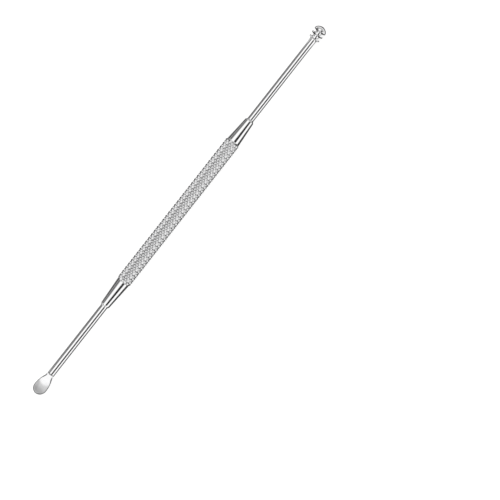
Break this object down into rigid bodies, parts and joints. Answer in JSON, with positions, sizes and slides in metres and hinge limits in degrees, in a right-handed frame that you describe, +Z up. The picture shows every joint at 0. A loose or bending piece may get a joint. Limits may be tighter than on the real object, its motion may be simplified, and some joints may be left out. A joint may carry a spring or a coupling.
{
  "type": "ear pick",
  "caption": "Double-ended steel ear pick: a small dished scoop at one end, a ringed domed head at the other, and a diamond-knurled grip between two cones.",
  "frame": {"origin": "centre of the footprint, on the surface that the tool lies on", "axes": "+X along the tool from the scoop to the domed head, +Z up, with the scoop's hollow facing up"},
  "size_m": [0.12, 0.004, 0.0049],
  "materials": {
    "steel": "bright polished stainless steel, the knurl as cut"
  },
  "bodies": {
    "root": {"ear_pick": "steel"}
  },
  "joints": []
}
